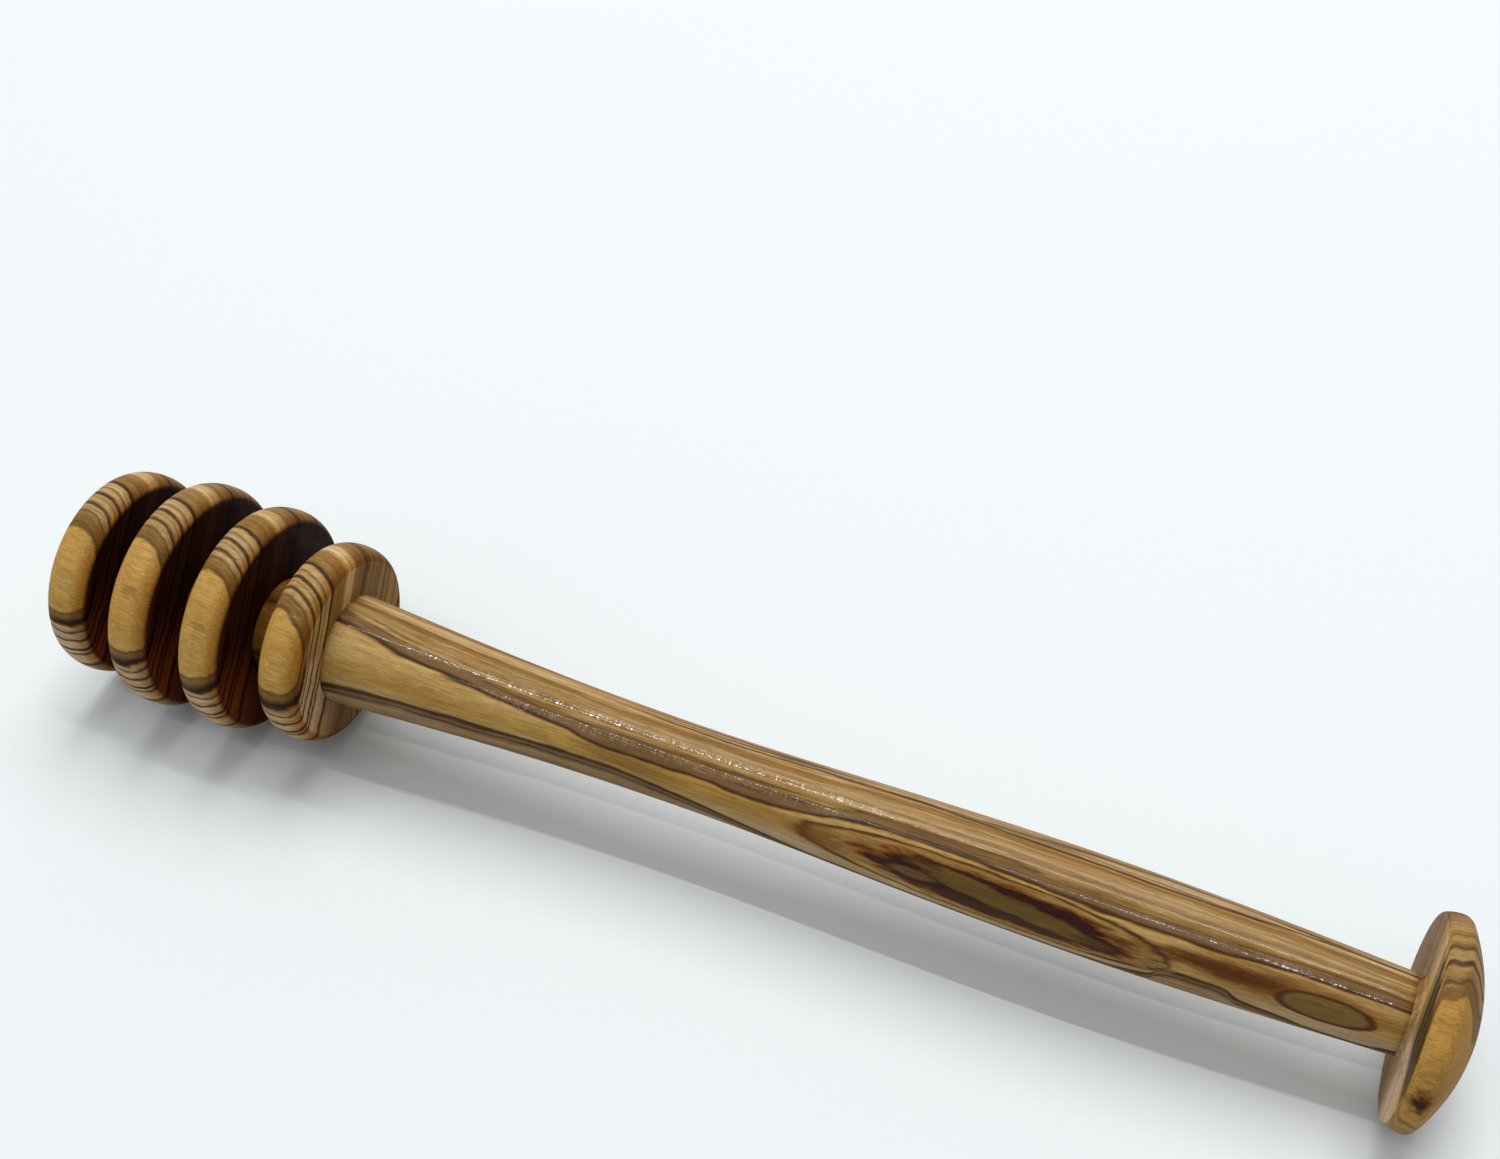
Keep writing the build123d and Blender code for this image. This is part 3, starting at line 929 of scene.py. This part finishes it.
# End button: filleted foot, flat underside, rounded rim and low dome
buttonLook = {
    **discLook, "wobble": 0.00006, "seed": 60,
    "radius": 0.0124, "undersideRound": 0.0007, "edgeHeight": 0.0020, "rimRound": 0.0013,
    "domeDrop": 0.00002,  # keeps the dome just inside its solid
    "footSteps": 10, "undersideSteps": 16, "edgeSteps": 14, "rimSteps": 12, "domeSteps": 40,
    "facingStations": (160, 180), "facing": (146, 146), "lift": 3.1,
    "arch": [
        (169, -3), (170.12, -2.2), (170.6, 0), (171.9, 0.2), (173, 1.1), (174.24, 2.1), (175.06, 2.7),
        (175.83, 4.4), (176.7, 5.2),
    ],
    "slope": [(-13, 0.1), (13, 0.05)], "flattenTipSide": (0, 0), "flattenHandleSide": (0, 0),
    "pitchStart": -90, "pitch": 165, "fineLines": (0.5, 0.3),
    "upperBands": [
        (-15, "gold"), (-8, "mauve"), (0.8, "mauve"), (1.2, "brown"), (1.7, "gold"), (3.5, "gold"),
        (4.5, "tan"), (6.3, "gold"), (6.65, "mauve"), (6.95, "tan"), (8.0, "gold"), (8.25, "mauve"),
        (8.65, "brown"), (8.95, "tan"), (9.8, "tan"), (10.1, "dark"), (10.45, "brown"), (10.75, "tan"),
        (11.6, "gold"), (12.0, "brown"), (12.3, "honey"), (13.1, "honey"), (13.3, "honey"),
        (13.5, "orangeCream"),
    ],
    "lowerBands": [
        (-15, "gold"), (-9, "mauve"), (0, "mauve"), (5, "shadedTan"), (9, "shadedTan"), (10, "ashTan"),
        (11.5, "gold"), (12.4, "tan"), (13.0, "honey"), (13.4, "orangeCream"),
    ],
    "knots": [
        (173, 3, 3, 6, 0.3, "honey"), (171.9, 4.2, 2.1, 2.4, 0.7, "amber"),
        (171.9, 4.2, 1.1, 1.6, 0.9, "redBrown"),
    ],
    # all of the button counts as groove: its underside takes the tip side's tint, its dome the other; on the
    # underside that tint is above 1 and bluish, a painted sheen
    "grooveStations": ((-1, 0), (300, 301)), "soakAndShadeRange": (0.6, 0.95), "tipSideHeart": 0.2,
    "grooveRimShadeTint": (1, 1, 1, 1), "handleSideSoakAndShade": (1, 0.97, 0.92, 1),
    "lowHandleSideSoakAndShade": (1, 0.97, 0.92, 1), "tipSideSoakAndSheen": (1.85, 1.98, 2.35, 1),
}
edge = underside + buttonLook["edgeHeight"]
foot = endRadius + footHeight
flatEnd = buttonLook["radius"] - buttonLook["undersideRound"]
rimRound = buttonLook["rimRound"]
rimCentre = buttonLook["radius"] - rimRound
domeRise = dipperLength - buttonLook["domeDrop"] - edge - rimRound
domeSetback = (rimCentre**2 - domeRise**2) / (2 * domeRise)
domeRadius = domeSetback + domeRise + rimRound
domeCentre = (edge - domeSetback, 0)
blendAngle = degrees(atan2(rimCentre, domeSetback))
boreRadius = buttonTenonRadius + glueLine
edgeRadii = (buttonLook["edgeHeight"], buttonLook["undersideRound"])
buttonPoints = arcPoints((handleEnd, foot), (footHeight, footHeight), -90, 0, buttonLook["footSteps"])
buttonPoints += straight((underside, foot), (underside, flatEnd), buttonLook["undersideSteps"])
buttonPoints += arcPoints((edge, flatEnd), edgeRadii, 180, 90, buttonLook["edgeSteps"])
buttonPoints += arcPoints((edge, rimCentre), (rimRound, rimRound), 90, blendAngle, buttonLook["rimSteps"])
buttonPoints += arcPoints(domeCentre, (domeRadius, domeRadius), blendAngle, 0, buttonLook["domeSteps"])
buttonPoints += [(buttonSocketEnd, 0), (buttonSocketEnd, boreRadius), (handleEnd, boreRadius)]
button = turnPiece("end_button", buttonPoints, buttonLook, buttonLook["seed"])
button.data.materials.append(layeredWood("button_wood", buttonLook))
print("button done")

# Camera where the photograph was taken from, angles in radians
cameraLook = {
    "place": (0.05338, -0.11757, 0.18743), "heading": 0.39895, "pitch": 0.82152, "roll": -0.005,
    "lens": 42.81, "frameWidth": 36, "nearest": 0.005,
}
camera = bpy.data.objects.new("camera", bpy.data.cameras.new("camera"))
bpy.context.collection.objects.link(camera)
camera.data.lens = cameraLook["lens"]
camera.data.sensor_width = cameraLook["frameWidth"]
camera.data.sensor_fit = "HORIZONTAL"
camera.data.clip_start = cameraLook["nearest"]
heading, pitch, roll = (cameraLook[name] for name in ("heading", "pitch", "roll"))
forward = Vector((-sin(heading) * cos(pitch), cos(heading) * cos(pitch), -sin(pitch)))
level = Vector((cos(heading), sin(heading), 0))
overhead = level.cross(forward)
rightward = level * cos(roll) + overhead * sin(roll)
headward = overhead * cos(roll) - level * sin(roll)
turn = Matrix((rightward, headward, -forward)).transposed()
camera.matrix_world = Matrix.Translation(cameraLook["place"]) @ turn.to_4x4()
bpy.context.scene.camera = camera

# Floor: pale paper
floorLook = {
    "halfSize": 2, "tint": (0.728, 0.77, 0.787, 1), "roughness": 0.8,
    "grainCycles": 900, "grainTone": 0.015, "bump": 0.05, "bumpDistance": 0.0001,
}
floorMesh = bmesh.new()
bmesh.ops.create_grid(floorMesh, x_segments=1, y_segments=1, size=floorLook["halfSize"])
floorData = bpy.data.meshes.new("floor")
floorMesh.to_mesh(floorData)
floorMesh.free()
floor = bpy.data.objects.new("floor", floorData)
bpy.context.collection.objects.link(floor)
paper, paperTree, paperShader = newMaterial("pale_paper")
paperSpace = {"Vector": addNode(paperTree, "TexCoord")["Object"], "Scale": [floorLook["grainCycles"]] * 3}
paperGrain = cloud(paperTree, addNode(paperTree, "Mapping", paperSpace)[0], 3)
paperTone = reshape(paperTree, paperGrain, (0, 1), (1 - floorLook["grainTone"], 1 + floorLook["grainTone"]))
feed(paperTree, shaded(paperTree, floorLook["tint"], paperTone), paperShader.inputs["Base Color"])
paperShader.inputs["Roughness"].default_value = floorLook["roughness"]
paperBump = {"Strength": floorLook["bump"], "Distance": floorLook["bumpDistance"], "Height": paperGrain}
feed(paperTree, addNode(paperTree, "Bump", paperBump)[0], paperShader.inputs["Normal"])
floorData.materials.append(paper)

# Light: a pale room that is dim on the camera's side, a broad lamp overhead and behind, two tubes for glints
lightLook = {
    "roomTint": (1, 1, 0.99, 1), "dimSide": 0.22, "brightSide": 0.6, "backdrop": 0.88,
    "brightWay": (-0.769, 0.25, 0.589), "roomFade": (-0.5, 0.9),
    "lamps": {
        "broad": {"place": (0, 0.68, 1.42), "size": (0.86, 0.86), "energy": 12.7},
        "tubeBehind": {"place": (-0.14, 0.22, 1.58), "size": (1.26, 0.013), "energy": 5.9},
        "tubeBefore": {"place": (-0.14, -0.6, 1.48), "size": (1.26, 0.013), "energy": 2.9},
    },
}
world = bpy.data.worlds.new("studio")
bpy.context.scene.world = world
world.use_nodes = True
room = world.node_tree
background = room.nodes["Background"]
background.inputs["Color"].default_value = lightLook["roomTint"]
brightness = reach(room, addNode(room, "TexCoord")["Generated"], lightLook["brightWay"])
roomGlow = ease(room, brightness, lightLook["roomFade"], (lightLook["dimSide"], lightLook["brightSide"]))
# seen directly or mirrored, the room is as pale as the floor, and that adds no light to the dipper
rays = addNode(room, "LightPath")
mirrored = calc(room, "MAXIMUM", rays["Is Glossy Ray"], rays["Is Transmission Ray"])
seen = calc(room, "MAXIMUM", rays["Is Camera Ray"], mirrored)
roomShown = calc(room, "MAXIMUM", roomGlow, times(room, seen, lightLook["backdrop"]))
feed(room, roomShown, background.inputs["Strength"])
sideways = Vector((1, 0, 0))
for lampName, lampLook in lightLook["lamps"].items():
    lamp = bpy.data.objects.new(lampName, bpy.data.lights.new(lampName, "AREA"))
    bpy.context.collection.objects.link(lamp)
    lamp.data.shape = "RECTANGLE"
    lamp.data.size, lamp.data.size_y = lampLook["size"]
    lamp.data.energy = lampLook["energy"]
    aim = Vector(lampLook["place"])  # each lamp faces the dipper's middle
    facing = Matrix((sideways, aim.cross(sideways).normalized(), aim.normalized())).transposed()
    lamp.matrix_world = Matrix.Translation(aim) @ facing.to_4x4()
bpy.context.scene.view_settings.view_transform = "Standard"
print("camera, floor and light done")
